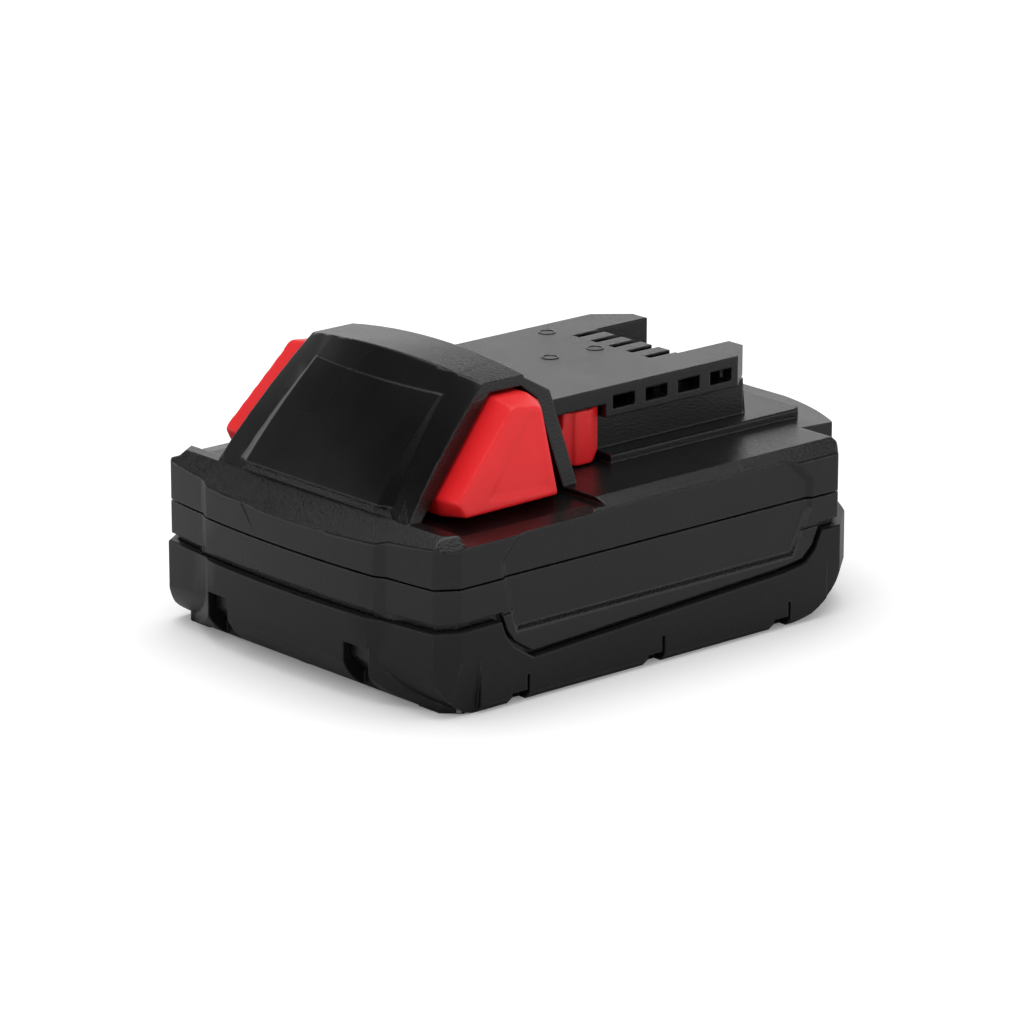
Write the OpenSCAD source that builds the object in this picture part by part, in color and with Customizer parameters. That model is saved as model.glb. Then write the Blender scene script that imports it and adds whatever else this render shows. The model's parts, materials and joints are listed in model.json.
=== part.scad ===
// Power tool battery pack: slide-on pack with five cells, two side latches and a bumper base

/* [Case] */
// Width of the case over its long sides
case_width = 78; // [72:0.5:84]
// Straight reach of the long side edges from the middle of the cell row
corner_x = 45; // [42:0.5:48]
// Reach of the bowed tail face from the middle of the cell row
tail_reach = 51.5; // [49:0.5:54]
// Bow radius of the tail face
tail_radius = 264; // [150:2:400]
// Angle of the tail corner faces
tail_angle = 33.3; // [25:0.1:45]
// Height of the raised middle field on the tail
pad_rise = 0.9; // [0.4:0.1:1.6]
// Half width of the raised middle field
pad_half = 23; // [16:0.5:27]
// Reach of the nose from the middle of the cell row
nose_reach = 62.4; // [58:0.2:66]
// Bow radius of the nose
nose_radius = 54; // [45:1:80]
// Angle of the nose corner faces
nose_angle = 50; // [44:0.5:56]
// Height of the deck
deck_z = 32; // [30:0.2:34]
// Height of the parting line
seam_z = 23.1; // [21.5:0.1:24.5]
// Gap of the parting line
seam_gap = 0.3; // [0.1:0.05:0.6]
// Wall thickness of the upper case
wall = 2; // [1.6:0.1:2.6]
// Thickness of the deck
deck_t = 2.2; // [1.6:0.1:2.8]
// Rise of the chamfer along the long deck edges
deck_chamfer_z = 1.8; // [0.8:0.1:3]
// Width of the chamfer along the long deck edges
deck_chamfer_y = 4.2; // [2:0.1:6]
// Rise of the chamfer over the tail
tail_chamfer_z = 3.7; // [2:0.1:5]
// Width of the chamfer over the tail
tail_chamfer_x = 6.3; // [4:0.1:9]
// Depth of the long side panels
panel_d = 0.7; // [0.3:0.1:1.1]
// Depth of the stiffening ribs under the deck
deck_rib = 1.2; // [0.6:0.1:1.6]
// Width of the chamfer over the tail corner faces
corner_chamfer = 2.4; // [1:0.1:3]
// Rise of the chamfer over the tail corner faces
corner_chamfer_z = 2.2; // [1:0.1:3]
// Width of the chamfer along the long edges of the raised tail corners
block_chamfer_y = 1.6; // [1:0.1:3]
// Distance from the middle where the lowered nose corners start
shoulder_x = 47.2; // [45:0.2:52]
// Half width of the nose field
nose_half = 27; // [22:0.5:30]
// Drop of the nose corners below the deck
shoulder_drop = 3.4; // [2:0.1:5]

/* [Base] */
// How far the base stands proud of the case
base_proud = 0.5; // [0.2:0.1:1]
// Wall thickness of the base
base_wall = 1.6; // [1.2:0.1:2]
// Floor thickness of the base
base_floor = 2.4; // [2:0.1:3]
// Top of the base at the tail
base_top = 15.6; // [13:0.1:17]
// Rise of the base rim toward the nose
rim_rise = 1.2; // [0:0.1:2]
// Height of the shadow gap over the base
groove = 1.4; // [0.6:0.1:2]
// Bottom rounding at both ends
base_round = 10; // [8:0.5:11]
// Bottom rounding at the tail corners
corner_round = 3.4; // [2:0.2:5]
// Angle of the base's nose corner faces
base_nose_angle = 40.5; // [40:0.5:50]
// Bow radius of the base's nose
base_nose_radius = 57; // [50:1:80]
// Depth of the bottom facets beside the corners
facet_d = 1.3; // [0.6:0.1:1.4]
// Side gap between base and inner tub
nest_gap = 0.2; // [0.1:0.05:0.3]
// Bottom edge chamfer along the long sides
base_edge = 1.4; // [0.6:0.1:2]
// Wall thickness of the inner tub
tub_wall = 1.5; // [1.2:0.1:1.6]
// Floor thickness of the inner tub
tub_floor = 1.4; // [1:0.1:2]
// Gap around the side tongues
tongue_gap = 0.9; // [0.5:0.1:1.4]
// Height of the drain slots in the tail
drain_z = 9.8; // [6:0.2:12]
// Width of the drain slots in the tail
drain_w = 6.2; // [4:0.2:9]
// Distance of the drain slots from the middle
drain_y = 19.2; // [14:0.2:22]

/* [Rail] */
// Height of the rail plate
rail_z = 45.8; // [43:0.2:48]
// Half width of the rail head
rail_half = 20; // [18:0.2:21]
// Lower edge of the rail head
head_z = 40.1; // [38.5:0.1:41]
// Undercut on each side below the rail head
undercut = 3; // [2:0.1:3.6]
// Front end of the rail
rail_front = 44; // [41:0.2:46]
// Wall thickness of the rail
rail_wall = 2; // [1.6:0.1:2.4]
// Corner cut at the rail front along the rail
front_cut_x = 6.3; // [3:0.1:8]
// Corner cut at the rail front across the rail
front_cut_y = 5.3; // [3:0.1:7]
// Half width of the plinth strip
plinth_half = 21.3; // [20.6:0.1:23]
// Height of the plinth strip over the deck
plinth_h = 1.6; // [1:0.1:2.2]
// Rear end of the plinth strip
plinth_back = 5.6; // [5.6:0.1:9]
// Front end of the plinth strip
plinth_front = 53.2; // [48:0.2:54]
// Corner cut at the plinth front
plinth_cut = 1.4; // [1:0.1:4]
// Half width of the terminal mouth
mouth_half = 11; // [10.6:0.1:12]
// Back of the terminal mouth
mouth_back = 31.3; // [30:0.1:33]
// Pitch of the contact slots
slot_pitch = 4.8; // [4.4:0.05:5]
// Width of the contact slots
slot_w = 1.8; // [1.5:0.1:2]
// Length of the contact slots
slot_l = 6.5; // [4:0.1:7]
// Lower end of the contact slots
slot_z = 36.4; // [35.4:0.1:39]
// Width of the four side windows
window_w = 5.4; // [3:0.1:6]
// Height of the four side windows
window_h = 2.4; // [1.2:0.1:2.6]
// Pitch of the four side windows
window_pitch = 7.9; // [7:0.1:8.2]

/* [Tower] */
// Height of the hood at its middle
hood_z = 54.7; // [53.4:0.1:56]
// Crown radius of the hood
hood_radius = 150; // [120:5:400]
// Half width of the hood
hood_half = 23.3; // [22.4:0.1:24]
// Half width of the tower at the deck
foot_half = 26.4; // [25:0.1:28]
// Front edge of the hood
hood_front = -26.4; // [-28:0.1:-25.5]
// Rear edge of the hood
hood_back = -16.8; // [-18:0.1:-16]
// Foot of the sloped face
slope_foot = -46; // [-47.5:0.1:-44.5]
// Wall thickness of the sloped face
slope_wall = 2.2; // [1.6:0.1:2.6]
// Bow of the sloped face along its upper edge
slope_bow = 3.2; // [0:0.1:4]
// Bulge of the sloped face halfway up
slope_bulge = 1; // [0:0.1:1.4]
// Rise of the panel at the foot of the sloped face
field_h = 1; // [0.4:0.1:1.4]
// Drop of the pocket below the deck
pocket_drop = 1.1; // [0.6:0.1:1.4]

/* [Latch] */
// Gap around each latch button
latch_gap = 0.7; // [0.4:0.05:1]
// Travel of each latch
travel = 4; // [3:0.1:4.4]
// How far the upper button edge stands out from the tower
button_out_top = 6.9; // [3:0.1:8]
// How far the lower button edge stands out from the tower
button_out_low = 6.4; // [3:0.1:8]
// Length of the cut at the lower button corner
button_cut = 4.8; // [3:0.1:6]
// Wall thickness of each latch
latch_wall = 1.8; // [1.4:0.1:2.2]
// Face of the catch from the middle
catch_face = 19.6; // [18.8:0.1:19.7]
// Gap between the latch and its stops
stop_gap = 0.3; // [0.2:0.05:0.5]
// Outer diameter of the latch springs
spring_d = 7; // [5.6:0.1:8]
// Wire diameter of the latch springs
spring_wire = 0.7; // [0.5:0.05:0.8]
// Turns of the latch springs
spring_turns = 5; // [4:1:6]

/* [Cells and circuit] */
// Diameter of a cell
cell_d = 18.3; // [18:0.05:18.35]
// Length of a cell
cell_l = 65; // [64:0.1:65.2]
// Gap between two cells
cell_gap = 0.2; // [0.15:0.05:0.3]
// Gap under the cells
cell_lift = 0.15; // [0.1:0.05:0.3]
// Width of a nickel strip
strip_w = 8; // [6:0.2:9]
// Thickness of a nickel strip
strip_t = 0.3; // [0.15:0.05:0.4]
// Thickness of an insulator sheet
sheet_t = 0.4; // [0.2:0.05:0.6]
// Thickness of the circuit board
board_t = 1.6; // [1:0.1:1.8]
// Length of the circuit board
board_l = 46; // [40:0.5:48]
// Width of the circuit board
board_w = 42; // [34:0.5:48]
// Diameter of the case screws
screw_d = 2; // [1.6:0.1:2.2]
// Head diameter of the case screws
screw_head = 4.2; // [3.6:0.1:4.4]
// Side gap of screws and pins
hole_gap = 0.2; // [0.1:0.05:0.3]
// Thickness of a contact leaf
leaf_t = 0.4; // [0.3:0.05:0.5]

/* [Hidden] */
$fn = 96;
half = case_width / 2;
tail_pad = tail_reach + pad_rise;
x_mid = (nose_reach - tail_pad) / 2;
tail_far = tail_pad + 6;
tail_y = half - (tail_far - corner_x) * tan(tail_angle);
nose_far = nose_reach + 4;
function nose_y(a) = half - (nose_far - corner_x) * tan(a);
function plan(a) = [
    [-tail_far, -tail_y], [-corner_x, -half], [corner_x, -half], [nose_far, -nose_y(a)],
    [nose_far, nose_y(a)], [corner_x, half], [-corner_x, half], [-tail_far, tail_y]];
base_plan_d = -base_proud;
tub_d = base_plan_d + base_wall + nest_gap;
tub_in = tub_d + tub_wall;
lip_out = wall + 0.1;
lip_in = lip_out + 0.9;
ceiling = deck_z - deck_t;
tub_z = base_floor + tub_floor;
cell_r = cell_d / 2;
cell_z = tub_z + cell_lift + cell_r;
cell_pitch = cell_d + cell_gap;
cell_top = cell_z + cell_r;
pane_z = cell_top + 0.2;
pane_t = 1.3;
board_z = pane_z + pane_t + 1;
board_x = 8;
rim_slope = rim_rise / (2 * corner_x);
rail_low = rail_half - undercut;
rail_roof = rail_z - 2.2;
plinth_z = deck_z + plinth_h;
screw_at = [-corner_x + 2.6, corner_x - 8];
screw_y = half - 3.4;
boss_r = 2.2;
pocket_z = deck_z - pocket_drop;
slope_run = hood_front - slope_foot;
hood_edge = hood_z - hood_half * hood_half / (2 * hood_radius);
slope_top = hood_edge;
slope_rise = slope_top - deck_z;
slope_k = slope_run / slope_rise;
slope_in = slope_wall * sqrt(1 + slope_k * slope_k);
rear_top = [-11.2, hood_edge - 3.7];
rear_foot = [-6.8, deck_z - 1];
strap_w = 3.3;
facet_x = corner_x - 4.2;
facet_z = 10.6;
pocket_end = rear_foot[0] - strap_w - 1.6;
pocket_start = slope_foot + 2.5;
tail_n = 90 - tail_angle;
corner_reach = corner_x * cos(tail_n) + half * sin(tail_n);
screw_end = deck_z - shoulder_drop - 1.4;
tunnel_top = hood_edge - 1.8;
function slope_x(z) = slope_foot + (z - deck_z) * slope_k;
function slope_t(z) = (z - deck_z) / slope_rise;
function slope_half(z) = foot_half + (hood_half - foot_half) * slope_t(z);
function slope_at(y, z) = let (t = slope_t(z), s = y / slope_half(z))
    slope_x(z) - slope_bow * t * (1 - s * s) - slope_bulge * 4 * t * (1 - t);
tower = [
    [slope_x(deck_z - 1) - 8, deck_z - 1], rear_foot, rear_top, [hood_back, hood_edge - 0.5],
    [hood_back, hood_z + 1], [slope_x(hood_z + 1) - 8, hood_z + 1]];
tower_side = [
    [-foot_half - 0.15, pocket_z - 1], [foot_half + 0.15, pocket_z - 1], [foot_half + 0.15, deck_z - 1],
    [hood_half, hood_edge], [hood_half - 0.3, hood_z + 2], [0.3 - hood_half, hood_z + 2],
    [-hood_half, hood_edge], [-foot_half - 0.15, deck_z - 1]];
tunnel = [
    [slope_x(pocket_z) + slope_in, pocket_z], [rear_foot[0] - strap_w, pocket_z],
    [rear_top[0] - strap_w, rear_top[1] - 0.5], [hood_back - 1, tunnel_top],
    [slope_x(tunnel_top) + slope_in, tunnel_top]];
strap_in = rail_half + 0.3;
arm_out = strap_in - stop_gap - 0.3;
arm_in = arm_out - 3.6;
arm_room = arm_in - travel - 1.3;
window_top = head_z + 2.6;
catch_top = window_top - 0.4;
catch_front = 5.1;
catch_back = -3.6;
catch_window = catch_front + 0.5;
frame_half = foot_half - 1.2;
web_in = 16.5;
web_t = 1.5;
rib_half = 1.2;
spring_x = -23;
spring_z = 41;
block_x0 = mouth_back - 2.2 - 7;
block_x1 = mouth_back - 2.2;
block_half = rail_low - rail_wall - 0.6;
board_x0 = board_x - board_l / 2;
boss_y = 15;
boss_x = [-11, 18];

function unit(v) = v / norm(v);
function left_of(a, b) = let (t = unit(b - a)) [-t[1], t[0]];
function meet(p, u, q, v) = p + cross(q - p, v) / cross(u, v) * u;
function inset(pts, d) = [
    for (i = [0 : len(pts) - 1])
        let (n = len(pts), a = pts[(i + n - 1) % n], b = pts[i], c = pts[(i + 1) % n])
        meet(b + d * left_of(a, b), b - a, b + d * left_of(b, c), c - b)];

module both() {
    children();
    mirror([0, 1, 0]) children();
}

module along_y(y0, y1) {
    translate([0, y1, 0]) rotate([90, 0, 0]) linear_extrude(y1 - y0) children();
}

module along_x(x0, x1) {
    translate([x0, 0, 0]) rotate([90, 0, 90]) linear_extrude(x1 - x0) children();
}

module box(x0, x1, y0, y1, z0, z1) {
    translate([x0, y0, z0]) cube([x1 - x0, y1 - y0, z1 - z0]);
}

module post(x, y, r, z0, z1) {
    translate([x, y, z0]) cylinder(r = r, h = z1 - z0);
}

// Plan of the case as a slab, inset by d, with nose corners at angle a

module slab(d, z0, z1, a = nose_angle, bow = nose_radius) {
    intersection() {
        translate([0, 0, z0]) linear_extrude(z1 - z0) polygon(inset(plan(a), d));
        post(tail_radius - tail_reach, 0, tail_radius - d, z0 - 1, z1 + 1);
        union() {
            box(-90, nose_reach - bow, -60, 60, z0 - 1, z1 + 1);
            post(nose_reach - bow, 0, bow - d, z0 - 1, z1 + 1);
        }
    }
}

// Raised middle field of the tail, inset by d

module tail_field(d, z0, z1) {
    k = 2;
    intersection() {
        translate([0, 0, z0]) linear_extrude(z1 - z0) polygon([
            [-46, -pad_half - k * (tail_reach - 46)], [-46, pad_half + k * (tail_reach - 46)],
            [-tail_pad - 2, pad_half - k * (pad_rise + 2)], [-tail_pad - 2, -pad_half + k * (pad_rise + 2)]]);
        post(tail_radius - tail_pad, 0, tail_radius - d, z0 - 1, z1 + 1);
    }
}

module case_body(d, z0, z1, a = nose_angle) {
    slab(d, z0, z1, a);
    tail_field(d, z0, z1);
}

// Cutter that rounds the bottom edge where the plan faces the given direction

// The arc meets both faces at a slight angle, so that neighbouring cuts cross cleanly

module edge_round(angle, reach, r, z0) {
    k = 0.02 * r;
    rotate([0, 0, angle]) difference() {
        box(reach - r, reach + 12, -70, 70, z0 - 5, z0 + r);
        along_y(-71, 71) translate([reach - r, z0 + r]) circle(r = r + k);
    }
}

// Plan of the case with rounded bottom ends

module round_slab(d, z0, z1, a = nose_angle, bow = nose_radius) {
    r = base_round - (d - base_plan_d);
    corner_r = max(0.6, corner_round - (d - base_plan_d));
    nose_n = 90 - a;
    difference() {
        slab(d, z0, z1, a, bow);
        edge_round(0, nose_reach - d, r, z0);
        for (m = [-1, 1]) {
            edge_round(180 + 5.2 * m, tail_radius - (tail_radius - tail_reach) * cos(5.2) - d, r, z0);
            edge_round(m * (180 - tail_n), corner_reach - d, corner_r, z0);
            edge_round(m * nose_n, corner_x * cos(nose_n) + half * sin(nose_n) - d, r, z0);
            edge_round(m * nose_n / 2, (nose_reach - bow) * cos(nose_n / 2) + bow - d, r, z0);
        }
    }
}

// Case body with rounded bottom ends

module round_body(d, z0, z1, a = nose_angle, bow = nose_radius) {
    round_slab(d, z0, z1, a, bow);
    difference() {
        tail_field(d, z0, z1);
        edge_round(180, tail_pad - d, base_round - (d - base_plan_d), z0);
    }
}

// Panel recess in both long sides of the case

module side_panels() {
    outer = [
        [-33, 12], [34.5, 12], [39.4, 21], [39.4, 27.2], [33, 33], [-30, 33], [-36.6, 26.6], [-36, 22]];
    both() hull() {
        along_y(-half - 1.2, -half - 1.1) polygon(inset(outer, -0.6));
        along_y(-half + panel_d - 0.02, -half + panel_d) polygon(inset(outer, 1.8));
    }
}

tongue = [
    [-28.6, 8.7], [31.4, 11.5], [36.2, 12.1], [38.4, 14], [40, 17.2], [40, 20], [-35.6, 20], [-35.4, 16.6],
    [-34.3, 13.5], [-32.7, 11.3]];

// Latch button with tilted face

base_ring = let (b = inset(tunnel, latch_gap)) [
    b[0] + [4.4, 0], b[1], b[2], b[3], b[4], b[0] + button_cut * unit(b[4] - b[0])];
face_ring = let (b = base_ring) [
    b[0] + [-0.2, 1.4], b[1] + [-6.2, 1.6], b[2] + [-4.2, 0.6], b[3] + [-3.8, -0.9], b[4] + [-1, -0.4],
    b[5] + [-0.6, 0.6]];
function face_y(z) = let (t = (z - deck_z) / (hood_edge - deck_z))
    foot_half + (hood_half - foot_half) * t + button_out_low + (button_out_top - button_out_low) * t;

// Solid through a row of rings with equal point counts, the first ring inward

module loft(rings) {
    n = len(rings[0]);
    m = len(rings);
    polyhedron([for (r = rings, p = r) p], concat(
        [[for (i = [0 : n - 1]) i]],
        [[for (i = [0 : n - 1]) n * m - 1 - i]],
        [for (k = [0 : m - 2], i = [0 : n - 1]) [k * n + (i + 1) % n, k * n + i, (k + 1) * n + i]],
        [for (k = [0 : m - 2], i = [0 : n - 1])
            [k * n + (i + 1) % n, (k + 1) * n + i, (k + 1) * n + (i + 1) % n]]));
}

module cap(d, y_in) {
    b = inset(base_ring, d);
    f = inset(face_ring, d);
    loft([
        [for (p = b) [p[0], -y_in, p[1]]],
        [for (p = b) [p[0], -frame_half, p[1]]],
        [for (p = f) [p[0], -face_y(p[1]) + d, p[1]]]]);
}

// Upper case: deck, tower, rail and terminal mouth moulded in one

roof = [
    [-tail_pad - 2, seam_z - 4], [nose_reach + 2, seam_z - 4], [nose_reach + 2, deck_z - 1.9],
    [nose_reach - 0.6, deck_z - 0.7], [shoulder_x, deck_z], [slope_foot, deck_z],
    [slope_foot - tail_chamfer_x, deck_z - tail_chamfer_z], [-tail_pad - 2, deck_z - tail_chamfer_z - 1]];

module deck_section(x0, x1, chamfer_y) {
    along_x(x0, x1) polygon([
        [-half - 1, seam_z - 1], [half + 1, seam_z - 1],
        [half + 1, deck_z - deck_chamfer_z * (1 + 1 / chamfer_y)], [half - chamfer_y, deck_z],
        [chamfer_y - half, deck_z], [-half - 1, deck_z - deck_chamfer_z * (1 + 1 / chamfer_y)]]);
}

module deck_shell() {
    fall = corner_chamfer_z / corner_chamfer;
    difference() {
        intersection() {
            case_body(0, seam_z + seam_gap / 2, deck_z);
            along_y(-60, 60) polygon(roof);
            union() {
                deck_section(-80, pocket_start, block_chamfer_y);
                deck_section(pocket_start, 80, deck_chamfer_y);
            }
        }
        both() rotate([0, 0, 180 - tail_n]) along_y(-20, 20) polygon([
            [corner_reach - corner_chamfer, deck_z], [corner_reach + 5, deck_z - (corner_chamfer + 5) * fall],
            [corner_reach + 5, deck_z + 1], [corner_reach - corner_chamfer, deck_z + 1]]);
    }
}

module tower_shell() {
    intersection() {
        along_y(-40, 40) polygon(tower);
        along_x(-60, 0) polygon(tower_side);
        slope_body();
        translate([-60, 0, hood_z - hood_radius]) rotate([0, 90, 0])
            cylinder(r = hood_radius, h = 70, $fn = 180);
    }
}

// Body behind the sloped face, which bows toward the hood

module slope_body() {
    loft([for (t = [-0.06, 0.16, 0.38, 0.6, 0.82, 1.04, 1.22])
        let (z = deck_z + t * slope_rise, w = 1.06 * slope_half(z)) concat(
            [[5, -40, z], [5, 40, z], [slope_at(w, z), 40, z]],
            [for (k = [6 : -1 : -6]) [slope_at(w * k / 6, z), w * k / 6, z]],
            [[slope_at(w, z), -40, z]])]);
}

module rail_plan(half_w, front, cut_x, cut_y) {
    polygon([
        [hood_back - 6, -half_w], [front - cut_x, -half_w], [front, cut_y - half_w],
        [front, half_w - cut_y], [front - cut_x, half_w], [hood_back - 6, half_w]]);
}

module rail_shell() {
    translate([0, 0, head_z]) linear_extrude(rail_z - head_z)
        rail_plan(rail_half, rail_front, front_cut_x, front_cut_y);
    translate([0, 0, deck_z - 1]) linear_extrude(head_z - deck_z + 1)
        rail_plan(rail_low, rail_front - 1.2, 0.9, 0.9);
    translate([0, 0, deck_z - 1]) linear_extrude(plinth_h + 1) polygon([
        [plinth_back, -plinth_half], [plinth_front - plinth_cut, -plinth_half],
        [plinth_front, plinth_cut - plinth_half], [plinth_front, plinth_half - plinth_cut],
        [plinth_front - plinth_cut, plinth_half], [plinth_back, plinth_half]]);
}

module upper_case() {
    room = mouth_back - 2.1;
    color([0.09, 0.09, 0.095]) difference() {
        union() {
            deck_shell();
            tower_shell();
            rail_shell();
            slope_panel();
            both() for (x = screw_at) post(x, screw_y, boss_r, seam_z, pocket_z - 1);
        }
        // main cavity under the deck
        difference() {
            intersection() {
                case_body(wall, seam_z - 1, ceiling);
                along_y(-60, 60) polygon(inset(roof, deck_t));
            }
            both() box(shoulder_x - wall, nose_reach + 5, nose_half - wall, half + 5,
                deck_z - shoulder_drop - wall, deck_z);
            both() for (x = screw_at) post(x, screw_y, boss_r, seam_z, ceiling + 1);
            box(-60, pocket_end + deck_t, -60, 60, pocket_z - deck_t, deck_z);
            both() box(-60, pocket_end + deck_t, half - 7, 60, pocket_z - 1.5 * deck_t, deck_z);
            both() box(-30, -28, pad_half, half, seam_z + 2.2, ceiling + 1);
            both() box(28, 30, pad_half, half, seam_z + 2.2, ceiling + 1);
            both() box(-48, nose_reach, 7, 8.6, ceiling - deck_rib, ceiling + 1);
        }
        both() for (x = screw_at) post(x, screw_y, screw_d / 2 + 0.05, seam_z - 2, screw_end + 0.4);
        // hollow rail over the board
        box(catch_window + 3, room, -rail_low + rail_wall, rail_low - rail_wall,
            ceiling - deck_rib - 0.2, rail_roof);
        both() box(room - 0.1, rail_front - 2.4, mouth_half + 1.8, rail_low - rail_wall,
            ceiling - deck_rib - 0.2, rail_roof);
        both() box(catch_window + 2, rail_front - front_cut_x - 2, rail_low - rail_wall - 0.1,
            rail_half - rail_wall, head_z + 1.4, rail_roof);
        // hollow rail for the latch arms
        both() box(rear_top[0] - 6, catch_window + 1, arm_room, rail_low - rail_wall,
            deck_z, rail_roof);
        both() box(rear_top[0] - 6, catch_window, arm_room, strap_in, deck_z, window_top);
        // terminal mouth and contact slots
        box(mouth_back, rail_front + 1, -mouth_half, mouth_half, plinth_z, rail_z + 1);
        for (i = [-2 : 2]) {
            box(mouth_back - slot_l, mouth_back + 1, i * slot_pitch - slot_w / 2, i * slot_pitch + slot_w / 2,
                slot_z, rail_z + 1);
        }
        // side windows
        both() for (i = [0 : 3]) {
            box(9.8 + i * window_pitch - window_w / 2, 9.8 + i * window_pitch + window_w / 2,
                rail_half - rail_wall - 0.5, rail_half + 1, 42.7 - window_h / 2, 42.7 + window_h / 2);
        }
        // latch tunnel with a middle rib
        both() along_y(rib_half, 40) polygon(tunnel);
        // pockets under the buttons
        both() pocket();
        // lowered nose corners
        both() box(shoulder_x, nose_reach + 5, nose_half, half + 5, deck_z - shoulder_drop, deck_z + 1);
        side_panels();
    }
    color([0.09, 0.09, 0.095]) both() {
        translate([spring_x, rib_half + 3, spring_z]) rotate([90, 0, 0])
            cylinder(r = spring_d / 2 - spring_wire - 0.3, h = 3.1, $fn = 48);
    }
}

// Floor beside the tower

module pocket() {
    rim_z = deck_z - deck_chamfer_z;
    side_fall = (pocket_z - rim_z) / deck_chamfer_y;
    difference() {
        along_x(pocket_start, pocket_end) polygon([
            [0, pocket_z], [half - deck_chamfer_y, pocket_z], [half + 2, rim_z - 2 * side_fall],
            [half + 2, deck_z + 1], [0, deck_z + 1]]);
        along_x(pocket_start - 1, pocket_end + 1) polygon(tower_side);
        translate([0, 0, pocket_z - 1]) linear_extrude(4) polygon([
            [pocket_end, half - 5.4], [pocket_end - 3.6, half + 3], [pocket_end + 1, half + 3],
            [pocket_end + 1, half - 5.4]]);
    }
}

// Panel on the sloped face, proud at the foot and flush at the top

module slope_panel() {
    low = deck_z + 1.6;
    high = hood_edge - 2.4;
    lift = field_h * sqrt(1 + slope_k * slope_k);
    loft([for (i = [0 : 5])
        let (z = low + (high - low) * i / 5, t = slope_t(z), w = slope_half(z) * 0.72 - 0.7 * (1 - t),
            b = 0.2 + 3.2 * (1 - t)) concat(
            [[slope_x(z) + 2, -w - b, z], [slope_x(z) + 2, w + b, z], [slope_at(w + b, z) + 0.2, w + b, z]],
            [for (k = [4 : -1 : -4]) [slope_at(w * k / 4, z) - lift * (1.05 - t), w * k / 4, z]],
            [[slope_at(w + b, z) + 0.2, -w - b, z]])]);
}

// Lower case: tub with saddles for the cells, band, side tongues and lip

module lower_case() {
    rib_y = [14, 27];
    color([0.075, 0.075, 0.08]) difference() {
        union() {
            difference() {
                union() {
                    round_body(tub_d, base_floor, seam_z - seam_gap / 2);
                    intersection() {
                        case_body(0, base_floor, seam_z - seam_gap / 2);
                        along_y(-60, 60) polygon([
                            [-70, base_top + groove + rim_slope * (corner_x - 70)],
                            [80, base_top + groove + rim_slope * (corner_x + 80)], [80, 30], [-70, 30]]);
                    }
                    both() intersection() {
                        along_y(-half, tub_d - half + 1) polygon(tongue);
                        box(-80, 80, -60, 0, 0, 20);
                    }
                    difference() {
                        slab(lip_out, seam_z - 2, seam_z + 1.5);
                        both() for (x = screw_at)
                            box(x - boss_r - 0.5, x + boss_r + 0.5, screw_y - boss_r - 0.5, 60,
                                seam_z - seam_gap / 2, 40);
                        both() box(-31, -27, screw_y - 4.5, 60, seam_z + 1, 40);
                        both() box(27, 31, screw_y - 4.5, 60, seam_z + 1, 40);
                    }
                }
                round_slab(tub_in, tub_z, seam_z + 3);
                slab(lip_in, seam_z - 4, seam_z + 3);
            }
            // cell saddles and sheet ribs
            intersection() {
                round_slab(tub_d + 0.5, base_floor + 0.3, cell_z);
                both() difference() {
                    for (y = rib_y) box(-60, 60, y - 1, y + 1, base_floor, cell_z - cell_r * 0.55);
                    for (i = [-2 : 2]) along_y(0, 60) translate([i * cell_pitch, cell_z])
                        circle(r = cell_r + cell_lift);
                    box(corner_x + 3, 80, 0, 60, tub_z, 40);
                }
            }
            both() for (x = [-32, -12, 12, 32]) {
                box(x - 0.8, x + 0.8, cell_l / 2 + strip_t + sheet_t + 0.1, half - tub_d - 0.5,
                    base_floor, cell_z + 4);
            }
            both() for (x = screw_at) post(x, screw_y, boss_r, base_floor, seam_z);
        }
        both() for (x = screw_at) post(x, screw_y, screw_d / 2 + hole_gap, 0, 40);
        both() box(-35.6, -31.3, half - 0.5, half + 1, 16.5, 16.9);
        both() box(34.6, 40, half - 0.5, half + 1, 17.5, 17.9);
        side_panels();
    }
}

// Base: bumper tray with rounded ends, side cut-outs and drain slots

module base_frame() {
    color([0.06, 0.06, 0.065]) difference() {
        intersection() {
            round_body(base_plan_d, 0, 25, base_nose_angle, base_nose_radius);
            along_y(-60, 60) polygon([
                [-70, -1], [80, -1], [80, base_top + rim_slope * (corner_x + 80)],
                [-70, base_top + rim_slope * (corner_x - 70)]]);
            along_x(-80, 80) polygon([
                [base_edge - half - base_proud, 0], [half + base_proud - base_edge, 0],
                [half + base_proud + 0.2, base_edge + 0.2], [half + base_proud + 0.2, 40],
                [-half - base_proud - 0.2, 40], [-half - base_proud - 0.2, base_edge + 0.2]]);
        }
        round_body(base_plan_d + base_wall, base_floor, 40);
        both() along_y(-60, -half + 3) polygon(inset(tongue, -tongue_gap));
        both() box(-80, -tail_reach + 4, drain_y - drain_w / 2, drain_y + drain_w / 2, -1, drain_z);
        both() for (x = [-31.7, 0.2, 31]) {
            box(x - 2.1, x + 2.1, half - 2.6, half + 5, -1, base_floor - 0.3);
            box(x + 1.4, x + 2.1, half - 0.4, half + 5, -1, 4.8);
        }
        both() for (x = screw_at) {
            post(x, screw_y, screw_d / 2 + hole_gap, -1, 5);
            post(x, screw_y, screw_head / 2 + hole_gap, -1, 1.4);
        }
        // facets low on the long sides, toward the corners
        both() for (x = [-60, facet_x + 1.3]) along_x(x, x + 60 - facet_x) polygon([
            [half + base_proud, facet_z], [half + base_proud + 5, facet_z], [half + base_proud + 5, -1],
            [half + base_proud - facet_d * (1 + 1 / facet_z), -1]]);
        for (x = [-24 : 16 : 40]) box(x - 5, x + 5, -22, 22, -1, 0.6);
    }
}

// Latch: button, skirt, arm and catch in one piece

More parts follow.
